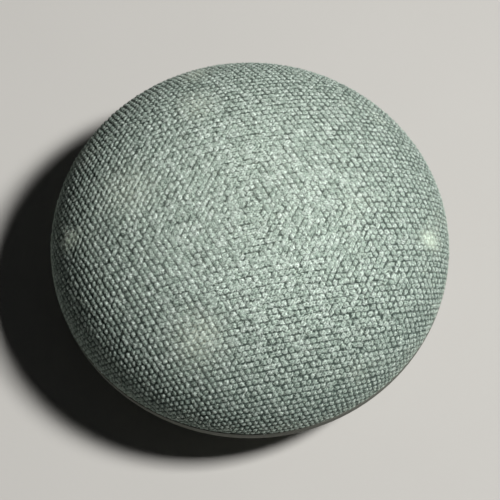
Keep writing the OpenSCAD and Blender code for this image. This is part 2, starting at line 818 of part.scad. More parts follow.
module speaker_screws() {
    length = 7.4;
    color("#b9bcbc") for (a = post_azimuths) at(driver_screw_circle_r, a)
        screw(driver_screw_r, flange_z + flange_t - length, length, 1.4, 0.7);
}

module light_board() {
    color("#e9e8e2") difference() {
        slab(light_strip[0], light_strip[1], light_board_z, light_board_t);
        for (x = stake_xs) translate([x, 0, 0]) cylinder(r = 0.8 + fit, h = body_h, $fn = 32);
        for (x = microphone_xs) translate([x, 0, 0]) cylinder(r = 0.4, h = body_h, $fn = 24);
    }
}

module status_lights() {
    color("#f4f1e4") for (x = light_xs) translate([x, 0, 0]) slab(1.6, 1.6, light_board_top_z, 0.6);
}

module light_guides() {
    r = 1.05;
    foot_z = light_board_top_z + 0.65;
    color("#f2f2ee") for (x = light_xs) translate([x, 0, foot_z]) {
        cylinder(r = 1.5, h = 0.4, $fn = 32);
        cylinder(r = r, h = dome_z(shell_a, shell_b, abs(x) + r) - touch - foot_z, $fn = 32);
    }
}

module microphones() {
    color("#cfc79a") for (x = microphone_xs) translate([x, 0, 0]) slab(3.5, 2.7, light_board_z - 1, 1);
}

module microphone_gaskets() {
    r = 1.5;
    color("#1a1b1b") for (x = microphone_xs) translate([x, 0, 0])
        tube(r, 0.6, light_board_top_z, dome_z(shell_in_a, shell_in_b, abs(x) + r) - touch - light_board_top_z);
}

// Foil patches that sense a tap on the left and right of the dome
module touch_electrodes() {
    out_a = shell_in_a - touch;
    out_b = shell_in_b - touch;
    color("#c0793f") for (a = [0, 180]) rotate([0, 0, a - electrode_span / 2])
        rotate_extrude(angle = electrode_span) polygon(concat(
            dome_points(out_a, out_b, electrode_from, electrode_to),
            reverse(dome_points(out_a - electrode_t, out_b - electrode_t, electrode_from, electrode_to))
        ));
}

module touch_flexes() {
    // The tail lies along the inner face of its electrode, clear of it over the strip's whole width
    tail_clearance = 0.2;
    inset = touch + electrode_t + flex_t / 2 + tail_clearance;
    tail_turn = 3;
    socket_z = board_top_z + low_connector_h + flex_t / 2;
    color("#c98b3a") for (a = [0, 180]) rotate([0, 0, a])
        strip(concat(
            [[33.4, socket_z], [35, socket_z], [40.5, 18]],
            [for (t = [electrode_from, electrode_from + tail_turn])
                [(shell_in_a - inset) * cos(t), seam_z + (shell_in_b - inset) * sin(t)]]
        ), flex_w, flex_t);
}

module top_flex() {
    under_z = light_board_z - flex_t / 2 - touch;
    over_gasket_z = flange_z + 3.6 + flex_t / 2 + touch;
    color("#c98b3a") strip([
        [16, under_z], [19.6, under_z], [20.4, over_gasket_z], [22.8, over_gasket_z],
        [28, ledge_z + 1], [top_flex_x, ledge_z], [top_flex_x, board_top_z + low_connector_h]
    ], flex_w, flex_t);
}

foot_pad();
base_shell();
knit_cover();
grille_shell();
shell_seal();
housing_screws();
main_board();
port_board();
board_link();
power_inlet();
inlet_tongue();
mute_slider();
mute_flag();
mute_switch_body();
mute_switch_lever();
reset_button();
reset_plunger();
reset_switch_body();
processor();
memory_chip();
radio_chip();
radio_shield();
audio_amplifier();
capacitors();
inductors();
antennas();
thermal_pad();
heat_spreader();
board_screws();
speaker_chamber();
basket();
yoke();
magnet();
pole_plate();
coil_former();
coil_winding();
cone();
dust_cap();
surround();
spider();
speaker_gasket();
terminal_strip();
speaker_leads();
lead_grommet();
board_connectors();
speaker_screws();
light_board();
status_lights();
light_guides();
microphones();
microphone_gaskets();
touch_electrodes();
touch_flexes();
top_flex();
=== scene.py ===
# %% [markdown]
# # A small round speaker in a knitted cover
# The real object is a low puck, 98 mm across and 42 mm high: a perforated dome with a knitted cover
# stretched over it, a moulded base below, and a silicone foot. The shapes that matter to how it works
# come packed as parts. This lesson gives each part its finish and makes the cloth.
#
# Loading comes first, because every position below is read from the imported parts.
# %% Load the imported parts
import json
import math

import bpy
import numpy as np
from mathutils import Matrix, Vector


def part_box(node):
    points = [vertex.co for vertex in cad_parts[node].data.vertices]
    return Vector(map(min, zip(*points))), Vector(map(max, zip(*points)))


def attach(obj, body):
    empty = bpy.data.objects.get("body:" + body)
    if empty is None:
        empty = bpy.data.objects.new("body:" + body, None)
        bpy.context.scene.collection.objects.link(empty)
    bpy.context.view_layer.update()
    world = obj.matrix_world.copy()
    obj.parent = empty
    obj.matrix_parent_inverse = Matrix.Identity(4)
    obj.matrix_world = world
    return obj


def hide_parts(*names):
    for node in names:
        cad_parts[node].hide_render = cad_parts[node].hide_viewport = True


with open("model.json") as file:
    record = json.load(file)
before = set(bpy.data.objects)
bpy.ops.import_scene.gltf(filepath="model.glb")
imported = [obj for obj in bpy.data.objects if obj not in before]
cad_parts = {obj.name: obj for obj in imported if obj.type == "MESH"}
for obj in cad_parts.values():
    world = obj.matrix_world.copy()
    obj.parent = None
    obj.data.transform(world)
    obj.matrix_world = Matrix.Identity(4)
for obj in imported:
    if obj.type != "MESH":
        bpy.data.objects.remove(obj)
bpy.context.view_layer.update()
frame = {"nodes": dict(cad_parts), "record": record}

MM = 0.001

# %% [markdown]
# ## The camera
# The speaker is looked down on steeply from the front, with little perspective. A long lens some way
# off gives that, and a camera that aims at one point is simpler to move than one turned by hand.
# %% Camera
CAMERA_ELEVATION = math.radians(67)
CAMERA_DISTANCE = 0.5
LENS = 147.2
aim = Vector((0, -0.0027, 0.0205))

camera = bpy.data.objects.new("camera", bpy.data.cameras.new("camera"))
bpy.context.scene.collection.objects.link(camera)
back = Vector((0, -math.cos(CAMERA_ELEVATION), math.sin(CAMERA_ELEVATION)))
camera.location = aim + back * CAMERA_DISTANCE
camera.rotation_euler = (-back).to_track_quat("-Z", "Y").to_euler()
camera.data.lens = LENS
camera.data.clip_start = 10 * MM
bpy.context.scene.camera = camera
print("camera at", [round(x, 3) for x in camera.location])

# %% [markdown]
# ## The dome that the cloth lies on
# A knitted cover is cut flat and stretched over the dome. Its stitches keep their distance from the
# middle, measured along the curve. So each point of the flat cloth is laid on the dome at that same
# arc length. Wrapping a texture would be quicker, but it gives no real stitches at the outline.
# %% Lay flat cloth on the dome
cover_low, cover_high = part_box("knit_cover")
RADIUS = (cover_high.x - cover_low.x) / 2
SEAM_Z = cover_low.z
RISE = cover_high.z - SEAM_Z

lean = np.linspace(0, math.pi / 2, 4001)
steps = np.hypot(np.diff(RADIUS * np.sin(lean)), np.diff(RISE * np.cos(lean)))
arc = np.concatenate([[0], np.cumsum(steps)])


def on_dome(flat, lift):
    """Points of the flat cloth, laid on the dome and lifted off it along its normal."""
    distance = np.hypot(flat[..., 0], flat[..., 1])
    heading = np.arctan2(flat[..., 1], flat[..., 0])
    t = np.interp(distance, arc, lean)
    out, up = np.sin(t) / RADIUS, np.cos(t) / RISE
    size = np.hypot(out, up)
    r = RADIUS * np.sin(t) + lift * out / size
    z = SEAM_Z + RISE * np.cos(t) + lift * up / size
    return np.stack([r * np.cos(heading), r * np.sin(heading), z], axis=-1)


print("seam %.2f mm up, %.1f mm from the top along the arc" % (SEAM_Z / MM, arc[-1] / MM))

# %% [markdown]
# ## Stitches
# The cloth is a dense pique knit: staggered rows of plump stitches that press against each other, with
# narrow slits between them. Each stitch is a little off its place and turned a little, because the
# yarn is soft. A regular grid with a bump map would look printed. Here the mesh follows the stitches:
# every stitch has sixteen points of its own, so that its top and its slits are both on the mesh.
# %% Where the stitches are
STITCH = 1.54 * MM
ROW = 1.40 * MM
# The share of a stitch by which each row is shifted from the last
SLIP = 0.67
ROW_TURN = math.radians(12)
# Mesh steps to a stitch each way, and stitches kept beyond the grid so that all have neighbours
FINE = 4
MARGIN = 2
rows = int(arc[-1] / ROW) + 4
columns = int(arc[-1] / STITCH + SLIP * rows) + 4
shape = (2 * (columns + MARGIN + 1), 2 * (rows + MARGIN + 1))

NUDGE = 0.09 * MM
TURN = 0.15
random = np.random.default_rng(7)
nudge = random.normal(0, NUDGE, shape + (2,))
turn = random.normal(0, TURN, shape)
tall = random.uniform(0.80, 1.0, shape)
plump = random.uniform(0.92, 1.10, shape)
tone = random.uniform(0, 1, shape)


def stitch_centre(i, j):
    """Middle of stitch (i, j), in the frame of the rows."""
    base = np.stack([(i + SLIP * j) * STITCH, j * ROW], axis=-1)
    return base + nudge[i + columns + MARGIN, j + rows + MARGIN]


print("stitch rows:", 2 * rows, "stitches in a row:", 2 * columns)

# %% Mesh points between the stitches
fine_i, fine_j = np.meshgrid(
    np.arange(-columns * FINE, columns * FINE + 1),
    np.arange(-rows * FINE, rows * FINE + 1),
    indexing="ij",
)
i0, j0 = fine_i // FINE, fine_j // FINE
a = (fine_i / FINE - i0)[..., None]
b = (fine_j / FINE - j0)[..., None]
rowwise = (
    stitch_centre(i0, j0) * (1 - a) * (1 - b)
    + stitch_centre(i0 + 1, j0) * a * (1 - b)
    + stitch_centre(i0, j0 + 1) * (1 - a) * b
    + stitch_centre(i0 + 1, j0 + 1) * a * b
)
print("mesh points before the cut:", fine_i.size)

# %% [markdown]
# A stitch lies along the slit that the pull of the dome opens, which is the lattice line nearest to
# the ring through it. Towards the rim the pull is stronger, and every slit opens wider. The slits
# that climb to the right open easily around the middle, and the other two take over further out.
# %% Which way each stitch lies
SLACK, TAUT = 18 * MM, 54 * MM
WANDER = 0.28
CLIMBING = 1
EASE, FADE, EASY_SIDE = 0.65, 1.2, 9 * MM
near_i, near_j = np.meshgrid(
    np.arange(-columns - MARGIN, columns + MARGIN + 2),
    np.arange(-rows - MARGIN, rows + MARGIN + 2),
    indexing="ij",
)
middle_x, middle_y = (near_i + SLIP * near_j) * STITCH, near_j * ROW
pull = np.clip((np.hypot(middle_x, middle_y) - SLACK) / (TAUT - SLACK), 0, 1)
ring = np.arctan2(middle_y, middle_x) + math.pi / 2 + random.normal(0, WANDER, shape)
lines = [(STITCH, 0.0), (SLIP * STITCH, ROW), ((SLIP - 1) * STITCH, ROW)]
headings = np.array([math.atan2(y, x) for x, y in lines])
lengths = np.array([math.hypot(x, y) for x, y in lines])
misfit = np.stack([np.abs(np.sin(ring - heading)) for heading in headings])
misfit[CLIMBING] += FADE * np.hypot(middle_x + EASY_SIDE, middle_y) / RADIUS - EASE
nearest = misfit.argmin(0)
lie = headings[nearest] + turn
print("stitches along each line:", np.bincount(nearest.ravel()).tolist())

# %% [markdown]
# Each stitch is a hill with a flat top and steep sides. Where hills overlap they blend, so that
# neighbours touch softly, and every point of the mesh takes the tone of the stitch it lies on.
# %% Height of the cloth at every point
HALF_LONG, HALF_WIDE = 0.478, 0.462
STEEP_LONG, STEEP_WIDE = 3.2, 3.6
OPENING = 0.19
BLEND = 4
opened = plump * (1 - OPENING * pull)
half_long = HALF_LONG * lengths[nearest] * opened
half_wide = HALF_WIDE * STITCH * ROW / lengths[nearest] * opened
total = np.zeros(fine_i.shape)
best = np.zeros(fine_i.shape)
shade = np.full(fine_i.shape, 0.5)
thread = rowwise.copy()
for di in range(-1, 3):
    for dj in range(-1, 3):
        i, j = i0 + di, j0 + dj
        key = (i + columns + MARGIN, j + rows + MARGIN)
        away = rowwise - stitch_centre(i, j)
        c, s = np.cos(lie[key]), np.sin(lie[key])
        turned = np.stack(
            [away[..., 0] * c + away[..., 1] * s, away[..., 1] * c - away[..., 0] * s], axis=-1
        )
        u, v = turned[..., 0] / half_long[key], turned[..., 1] / half_wide[key]
        hill = tall[key] * np.exp(-np.abs(u) ** STEEP_LONG - np.abs(v) ** STEEP_WIDE)
        total += hill**BLEND
        shade = np.where(hill > best, tone[key], shade)
        thread = np.where((hill > best)[..., None], stitch_centre(i, j) + turned, thread)
        best = np.maximum(best, hill)
relief = np.clip(total ** (1 / BLEND), 0, 1)
print("relief from %.2f to %.2f" % (relief.min(), relief.max()))

# %% [markdown]
# ## Cutting the cloth round
# The stitch grid is cut on a circle, so that its edge can be folded under as a hem. Triangles that
# cross the circle are clipped where they cross it. Dropping them would leave a stepped edge. Points
# very near the circle move onto it, because they would leave slivers.
# %% Which points lie inside the cut
CUT = arc[-1] - 0.35 * MM
SNAP = 0.07 * MM
c, s = math.cos(ROW_TURN), math.sin(ROW_TURN)
flat = np.stack(
    [rowwise[..., 0] * c - rowwise[..., 1] * s, rowwise[..., 0] * s + rowwise[..., 1] * c],
    axis=-1,
).reshape(-1, 2)
weave = thread.reshape(-1, 2)
relief, shade = relief.ravel(), shade.ravel()
away = np.hypot(flat[:, 0], flat[:, 1])
near = np.abs(away - CUT) < SNAP
flat[near] *= (CUT / away[near])[:, None]
side = np.where(near, 0, np.where(away < CUT, -1, 1))
print("points moved onto the circle:", int(near.sum()))

# %% Clip the triangles that cross the circle
index = np.arange(flat.shape[0]).reshape(fine_i.shape)
p00, p10 = index[:-1, :-1].ravel(), index[1:, :-1].ravel()
p01, p11 = index[:-1, 1:].ravel(), index[1:, 1:].ravel()
triangles = np.concatenate([np.stack([p00, p10, p01], 1), np.stack([p10, p11, p01], 1)])
most, least = side[triangles].max(1), side[triangles].min(1)
faces = triangles[most <= 0].tolist()
extra = []
crossing = {}


def cross(p, q):
    """The new point where the edge from p to q meets the circle."""
    ends = (min(p, q), max(p, q))
    if ends not in crossing:
        lo, hi = ends
        share = (CUT - away[lo]) / (away[hi] - away[lo])
        values = [table[lo] * (1 - share) + table[hi] * share for table in (flat, weave, relief, shade)]
        values[0] = values[0] * CUT / np.hypot(*values[0])
        crossing[ends] = flat.shape[0] + len(extra)
        extra.append(values)
    return crossing[ends]


for tri in triangles[(most > 0) & (least < 0)].tolist():
    cut = []
    for p, q in zip(tri, tri[1:] + tri[:1]):
        if side[p] <= 0:
            cut.append(p)
        if side[p] * side[q] < 0:
            cut.append(cross(p, q))
    if len(cut) >= 3:
        faces.append(cut)
print("points added on the circle:", len(extra))

# %% Keep only the points that are used
flat, weave, relief, shade = (
    np.concatenate([table, np.array([values[k] for values in extra])])
    for k, table in enumerate((flat, weave, relief, shade))
)
used = np.unique(np.concatenate([np.array(f) for f in faces]))
renumber = np.full(flat.shape[0], -1)
renumber[used] = np.arange(used.size)
faces = [[int(renumber[p]) for p in f] for f in faces]
flat, weave, relief, shade = flat[used], weave[used], relief[used], shade[used]
print("cloth points:", used.size, "faces:", len(faces))

# %% [markdown]
# ## The hem
# At the seam the cloth rolls under and is glued inside the dome's edge. The stitches flatten there,
# because the fold presses them. A few rings of points, each at the same angles as the cut edge, make
# the fold without a second mesh.
# %% Raise the stitches
PEAK, HOLLOW = 0.10 * MM, -0.34 * MM
PRESSED, PRESS_WIDTH = 0.35, 0.9 * MM
UNEVEN = 0.042 * MM
away = np.hypot(flat[:, 0], flat[:, 1])
press = PRESSED + (1 - PRESSED) * np.clip((CUT - away) / PRESS_WIDTH, 0, 1)
# Filaments make the top of the yarn uneven by about 0.04 mm, and leave the slits smooth
uneven = random.normal(0, UNEVEN, away.shape) * np.clip(relief * 1.5, 0, 1)
lift = (HOLLOW + (PEAK - HOLLOW) * relief + uneven) * press
points = on_dome(flat, lift)
print("cloth lies %.2f to %.2f mm off the dome's face" % (lift.min() / MM, lift.max() / MM))

# %% Fold the hem
# Each ring's way in from the rim and up from the seam, in mm
FOLD = [(0.12, 0.16), (0.34, 0.05), (0.9, 0), (1.7, 0), (2.25, 0.05), (2.4, 0.25), (2.4, 0.7)]
# Yarn taken up from one ring to the next, and how fast the stitches' height fades
HEM_STEP = 0.4 * MM
KEPT, LOST = 0.7, 0.25
edge = np.where(np.abs(away - CUT) < 1e-7)[0]
edge = edge[np.argsort(np.arctan2(flat[edge, 1], flat[edge, 0]))]
angle = np.arctan2(flat[edge, 1], flat[edge, 0])
rings = [edge]
new_points, new_weave = [], []
first = len(points)
for k, (inward, up) in enumerate(FOLD):
    r = RADIUS - inward * MM + lift[edge] * max(0, KEPT - LOST * k)
    z = np.full(r.shape, SEAM_Z + up * MM)
    new_points.append(np.stack([r * np.cos(angle), r * np.sin(angle), z], 1))
    new_weave.append(weave[edge] * (1 + (k + 1) * HEM_STEP / CUT))
    rings.append(np.arange(first, first + edge.size))
    first += edge.size
for upper, lower in zip(rings, rings[1:]):
    quads = np.stack([upper, lower, np.roll(lower, -1), np.roll(upper, -1)], 1)
    faces += quads.tolist()
points = np.concatenate([points] + new_points)
weave = np.concatenate([weave] + new_weave)
relief = np.concatenate([relief] + [relief[edge] * 0.6 + 0.2] * len(FOLD))
shade = np.concatenate([shade] + [shade[edge]] * len(FOLD))
print("hem rings:", len(FOLD), "points round:", edge.size)


# %% Make the cover's mesh
def new_piece(name, vertices, polygons):
    """A smooth mesh object of these points and faces, in the scene."""
    mesh = bpy.data.meshes.new(name)
    mesh.from_pydata(vertices, [], polygons)
    mesh.polygons.foreach_set("use_smooth", [True] * len(mesh.polygons))
    mesh.update()
    piece = bpy.data.objects.new(name, mesh)
    bpy.context.scene.collection.objects.link(piece)
    return piece


def note(piece, name, values):
    """Keeps one number for each point of a piece, which its material can read."""
    attribute = piece.data.attributes.new(name, "FLOAT", "POINT")
    attribute.data.foreach_set("value", np.asarray(values, dtype=np.float32))


cover = new_piece("knitted_cover", points.tolist(), faces)
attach(cover, "root")
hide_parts("knit_cover")
print("cover triangles:", sum(len(f) - 2 for f in faces))

# %% [markdown]
# ## Where the cover is worn, and its painted rim highlight and shade
# Fingertips rub the cloth over the two touch areas, and dust lies in patches. A pale line along
# the widest line is a painted highlight, and the cloth is painted darker towards the rim as shade.
# Each is kept as a number at every point, for the material to read. A painted picture of the wear
# would need an image file, and numbers at points need none.
# %% Touch marks, dust, painted rim highlight and rim shade
TAP_OUT, TAP_BACK, TAP_SIZE = 43.2 * MM, -3.5 * MM, 1.9 * MM
# Patches of dust: x, y and size in mm, and how thick the dust lies
DUSTY = (
    (-14, 42, 3.5, 0.9),
    (-13, 29, 5, 0.7),
    (-29, 6, 7, 0.7),
    (-12, -31, 5.5, 0.9),
    (0, 8, 26, 0.22),
)
RIM_HIGHLIGHT, HIGHLIGHT_FROM, HIGHLIGHT_WIDTH = 0.15, 0.30 * MM, 0.25 * MM
reach = np.hypot(points[:, 0], points[:, 1])
rubbed_and_rim_highlight = np.zeros(len(points))
for x in (-TAP_OUT, TAP_OUT):
    spot = np.hypot(points[:, 0] - x, points[:, 1] - TAP_BACK)
    rubbed_and_rim_highlight += np.exp(-((spot / TAP_SIZE) ** 2))
dusted = np.zeros(len(points))
for x, y, size, share in DUSTY:
    spot = np.hypot(points[:, 0] / MM - x, points[:, 1] / MM - y)
    dusted = np.maximum(dusted, share * np.exp(-((spot / size) ** 2)))
# Painted highlight: a pale line along the widest line, above the seam
painted_rim_highlight = np.clip((reach - RADIUS + HIGHLIGHT_FROM) / HIGHLIGHT_WIDTH, 0, 1)
above_seam = points[:, 2] > SEAM_Z + 0.1 * MM
rubbed_and_rim_highlight = np.maximum(rubbed_and_rim_highlight, RIM_HIGHLIGHT * painted_rim_highlight * above_seam)
# How far out a point is, cubed: the knit paints shade with it, darker towards the rim
stretch = (reach / RADIUS) ** 3
notes = {
    "relief": relief,
    "shade": shade,
    "rubbed_and_rim_highlight": rubbed_and_rim_highlight,
    "dusted": dusted,
    "stretch": stretch,
    "along": weave[:, 0],
    "across": weave[:, 1],
}
for name, values in notes.items():
    note(cover, name, values)
print("notes kept at the points:", ", ".join(notes))

# %% [markdown]
# ## Loose fibres
# A worn knit carries a little fuzz: ends of yarn that stand up, and longer hairs of lint that lie on
# it in curls. Hair particles would not export as a mesh. So each fibre is a thin three-sided tube
# that tapers to its end, bent along a curve on the cloth.
# %% Fibres as thin tubes
LINKS, SIDES = 6, 3
RING = LINKS * SIDES
TAPER = 0.75
# A fibre rises and dips again: past its highest point, in radians
ARCH = 2.2
# How deep its root sits in the cloth
ROOT = 0.08 * MM


def fibres(count, length, radius, height, curl, spots=(), inner=0.0):
    """Points and faces of that many bent fibres, outside the share inner of the cloth."""
    r = (CUT - 1 * MM) * np.sqrt(random.uniform(inner**2, 1, count))
    heading = random.uniform(-math.pi, math.pi, count)
    start = np.stack([r * np.cos(heading), r * np.sin(heading)], 1)
    for k, (middle, spread) in enumerate(spots):
        chosen = slice(k * count // 6, (k + 1) * count // 6)
        start[chosen] = random.normal(middle, spread, start[chosen].shape)
    share = np.linspace(0, 1, LINKS + 1)
    long = random.uniform(*length, count)[:, None]
    bend = random.uniform(0, 2 * math.pi, count)[:, None] + random.normal(0, curl, count)[:, None] * share
    step = np.stack([np.cos(bend), np.sin(bend)], -1) * (long / LINKS)[..., None]
    path = start[:, None] + np.cumsum(step, axis=1) - step[:, :1]
    rise = random.uniform(*height, count)[:, None] * np.sin(share * ARCH)
    centre = on_dome(path, rise - ROOT)
    ahead = np.gradient(centre, axis=1)
    ahead /= np.linalg.norm(ahead, axis=2, keepdims=True)
    upward = centre - np.array([0, 0, SEAM_Z - RISE])
    sideways = np.cross(ahead, upward)
    sideways /= np.linalg.norm(sideways, axis=2, keepdims=True)
    other = np.cross(sideways, ahead)
    thick = (radius * (1 - TAPER * share**2))[None, :, None]
    corners = [
        centre + thick * (math.cos(q) * sideways + math.sin(q) * other)
        for q in np.arange(SIDES) * math.tau / SIDES
    ]
    vertices = np.stack(corners, axis=2).reshape(-1, 3)
    pattern = [
        [k + q, k + (q + 1) % SIDES, k + SIDES + (q + 1) % SIDES, k + SIDES + q]
        for k in range(0, RING, SIDES) for q in range(SIDES)
    ]
    pattern += [[2, 1, 0], [RING, RING + 1, RING + 2]]
    polygons = [[p + (RING + SIDES) * n for p in face] for n in range(count) for face in pattern]
    return vertices, polygons


# %% Fuzz, lint and the soft rim
tap_arc = np.interp(math.asin(TAP_OUT / RADIUS), lean, arc)
TOUCH = [((x, TAP_BACK), 2.2 * MM) for x in (-tap_arc, tap_arc)]
fuzz = fibres(1500, (0.5 * MM, 1.3 * MM), 0.014 * MM, (0.15 * MM, 0.42 * MM), 1.2)
lint = fibres(330, (1.0 * MM, 3.2 * MM), 0.020 * MM, (0.16 * MM, 0.34 * MM), 3.4, spots=TOUCH)
rim = fibres(1300, (0.4 * MM, 1.0 * MM), 0.016 * MM, (0.14 * MM, 0.34 * MM), 1.0, inner=0.955)
joined, vertices = [], []
for some, some_faces in (fuzz, lint, rim):
    joined += [[p + len(vertices) for p in f] for f in some_faces]
    vertices += some.tolist()
fibre_piece = new_piece("loose_fibres", vertices, joined)
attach(fibre_piece, "root")
print("fibre faces:", len(joined))

# %% [markdown]
# ## How the finishes are made
# Every finish is built from the same few steps: a shader with its plain values set on its sockets,
# and a pattern for what changes over the surface. Colours are given as on a screen, in hex, and
# turned to the linear values that light is added up in. Pattern sizes are given in millimetres.
# %% Small helpers for finishes
def linear(code):
    """A linear colour from an sRGB hex code."""
    parts = [int(code[k:k + 2], 16) / 255 for k in (1, 3, 5)]
    return [p / 12.92 if p <= 0.04045 else ((p + 0.055) / 1.055) ** 2.4 for p in parts] + [1.0]


def new_finish(name, colour, **plain):
    """A material with a Principled shader. Plain values go straight on its sockets."""
    material = bpy.data.materials.new(name)
    material.use_nodes = True
    shader = material.node_tree.nodes["Principled BSDF"]
    shader.inputs["Base Color"].default_value = linear(colour)
    for socket, value in plain.items():
        shader.inputs[socket.replace("_", " ")].default_value = value
    return material


def add(material, kind, settings=None, wires=None):
    """Adds a node. Settings are its properties or socket values, and wires join its sockets."""
    node = material.node_tree.nodes.new("ShaderNode" + kind)
    for key, value in (settings or {}).items():
        if isinstance(key, str) and hasattr(node, key):
            setattr(node, key, value)
        else:
            node.inputs[key].default_value = value
    for key, source in (wires or {}).items():
        output = source if isinstance(source, bpy.types.NodeSocket) else source.outputs[0]
        material.node_tree.links.new(output, node.inputs[key])
    return node


def feed(material, socket, source):
    """Joins a pattern to one of the shader's sockets."""
    output = source if isinstance(source, bpy.types.NodeSocket) else source.outputs[0]
    shader = material.node_tree.nodes["Principled BSDF"]
    material.node_tree.links.new(output, shader.inputs[socket])


def per(size_mm):
    """The texture scale, in repeats to a metre, of a pattern of that size."""
    return 1000 / size_mm


# %% A surface with tone, polish and grain
def surface(material, colours, patch, polish, grain, depth, stretch=(1, 1, 1)):
    """Gives a finish two tones in soft patches, a range of roughness and a raised grain."""
    place = add(material, "TexCoord").outputs["Object"]
    spread = add(material, "Mapping", {"Scale": stretch}, {"Vector": place})
    patches = add(material, "TexNoise", {"Scale": per(patch), "Detail": 3}, {"Vector": spread})
    blend = add(
        material, "Mix", {"data_type": "RGBA", 6: linear(colours[0]), 7: linear(colours[1])}, {0: patches}
    )
    feed(material, "Base Color", blend.outputs[2])
    grains = add(material, "TexNoise", {"Scale": per(grain), "Detail": 2}, {"Vector": spread})
    dull = add(material, "MapRange", {"To Min": polish[0], "To Max": polish[1]}, {"Value": grains})
    feed(material, "Roughness", dull)
    raised = add(material, "Bump", {"Strength": 0.6, "Distance": depth * MM}, {"Height": grains})
    feed(material, "Normal", raised)


# %% [markdown]
# ## Heathered polyester knit
# The yarn is spun from pale and grey-green polyester, so that each stitch has its own tone. Light
# hardly reaches the slits between stitches, so they get a painted shade, nearly black-green. A soft
# sheen comes from the fuzz.
# %% Yarn tone
knit = new_finish(
    "polyester_knit", "#a3b1a7", Roughness=0.9, Specular_IOR_Level=0.2,
    Sheen_Weight=0.04, Sheen_Roughness=0.5, Sheen_Tint=linear("#e4ebe4"),
)
seen = {name: add(knit, "Attribute", {"attribute_name": name}).outputs["Fac"] for name in notes}
cloth_place = add(knit, "CombineXYZ", {}, {"X": seen["along"], "Y": seen["across"]})
mottle = add(knit, "TexNoise", {"Scale": per(0.55), "Detail": 2}, {"Vector": cloth_place})
own_tone = add(knit, "Math", {"operation": "MULTIPLY", 1: 0.35}, {0: seen["shade"]})
mixed_tone = add(knit, "Math", {"operation": "MULTIPLY_ADD", 1: 1.5}, {0: mottle, 2: own_tone})
tone_share = add(knit, "MapRange", {"From Min": 0.45, "From Max": 1.5}, {"Value": mixed_tone})
yarn = add(knit, "ValToRGB", {}, {0: tone_share})
YARN_TONES = ((0.12, "#8b9d92"), (0.42, "#aebfb4"), (0.66, "#c4d3ca"), (0.95, "#e0ebe4"))
for k, (at, code) in enumerate(YARN_TONES):
    stop = yarn.color_ramp.elements[k] if k < 2 else yarn.color_ramp.elements.new(at)
    stop.position, stop.color = at, linear(code)
print("yarn tones:", len(YARN_TONES))

# %% [markdown]
# Up close each stitch is two plies twisted together, each a bundle of filaments. A ply is 0.3 mm
# wide and is drawn faintly at 0.6 mm. Filaments are 0.02 mm wide, and are drawn at 0.36 mm, longer
# along the rows than across them. The pattern also lightens and darkens the yarn's colour: partly its
# own tone, partly painted highlights on the strands.
# %% Plies and filaments, with painted strand highlights
lying = add(knit, "Mapping", {"Scale": (0.55, 1, 1)}, {"Vector": cloth_place})
strands = add(knit, "TexNoise", {"Scale": per(0.36), "Detail": 2, "Distortion": 0.6}, {"Vector": lying})
twisted = add(knit, "Mapping", {"Rotation": (0, 0, math.radians(38))}, {"Vector": cloth_place})
plies = add(
    knit, "TexWave", {"Scale": per(0.62) / math.pi, "Distortion": 2.2, "Detail": 1}, {"Vector": twisted}
)
bundle = add(knit, "Math", {"operation": "MULTIPLY_ADD", 1: 0.12}, {0: plies, 2: strands})
filament_tone_and_highlight = add(
    knit, "MapRange", {"From Min": 0.34, "From Max": 0.72, "To Min": 0.40, "To Max": 1.50},
    {"Value": bundle},
)
# Painted highlights: the strand pattern brightens the yarn up to 1.5 times, beyond its own tone
yarn_with_painted_strand_highlights = add(knit, "Mix", {"data_type": "RGBA", "blend_type": "MULTIPLY", 0: 1.0}, {6: yarn, 7: filament_tone_and_highlight})
raised = add(knit, "Bump", {"Strength": 0.8, "Distance": 0.13 * MM}, {"Height": bundle})
feed(knit, "Normal", raised)
print("knit nodes with plies:", len(knit.node_tree.nodes))

# %% [markdown]
# A slit is painted dark where it is deep, as painted shade, and stray filaments bridge it here and
# there. The cloth's colour is also darkened towards the rim, as painted shade.
# %% Painted shade in the slits and towards the rim
bridges = add(knit, "TexNoise", {"Scale": per(0.55), "Detail": 2}, {"Vector": cloth_place})
filled = add(knit, "Math", {"operation": "MULTIPLY_ADD", 1: 1.1}, {0: bridges, 2: seen["relief"]})
# Painted shade: where the relief is low, the colour goes to the dark slit tone
depth = add(
    knit, "MapRange", {"From Min": 0.62, "From Max": 1.22, "interpolation_type": "SMOOTHSTEP"},
    {"Value": filled},
)
# The dark green-black here is the painted shade in the slits
cloth = add(knit, "Mix", {"data_type": "RGBA", 6: linear("#37433d")}, {0: depth, 7: yarn_with_painted_strand_highlights.outputs[2]})
# Painted shade: the cloth's colour darkens towards the rim
painted_rim_shade = add(knit, "Math", {"operation": "MULTIPLY", 1: 0.42}, {0: seen["stretch"]})
cloth = add(knit, "Mix", {"data_type": "RGBA", 7: linear("#4a5854")}, {0: painted_rim_shade, 6: cloth.outputs[2]})
print("knit nodes with slits:", len(knit.node_tree.nodes))

# %% [markdown]
# Dust settles in patches and is pale, almost white. The cloth is rubbed pale where fingertips
# tap it, over the two touch areas. Along its widest line a pale painted highlight is added.
# %% Dust
dust_patches = add(
    knit, "TexNoise", {"Scale": per(17), "Detail": 3, "Roughness": 0.62}, {"Vector": cloth_place}
)
stray = add(knit, "MapRange", {"From Min": 0.54, "From Max": 0.74, "To Max": 0.24}, {"Value": dust_patches})
settled = add(knit, "Math", {"operation": "MULTIPLY", 1: 0.62}, {0: seen["dusted"]})
dusty = add(knit, "Math", {"operation": "MAXIMUM"}, {0: stray, 1: settled})
specks = add(knit, "TexNoise", {"Scale": per(0.5), "Detail": 2}, {"Vector": cloth_place})
speckled = add(knit, "MapRange", {"From Min": 0.40, "From Max": 0.60}, {"Value": specks})
dust = add(knit, "Math", {"operation": "MULTIPLY"}, {0: dusty, 1: speckled})
dulled = add(knit, "Mix", {"data_type": "RGBA", 7: linear("#dde7d5")}, {0: dust, 6: cloth.outputs[2]})
print("knit nodes with dust:", len(knit.node_tree.nodes))
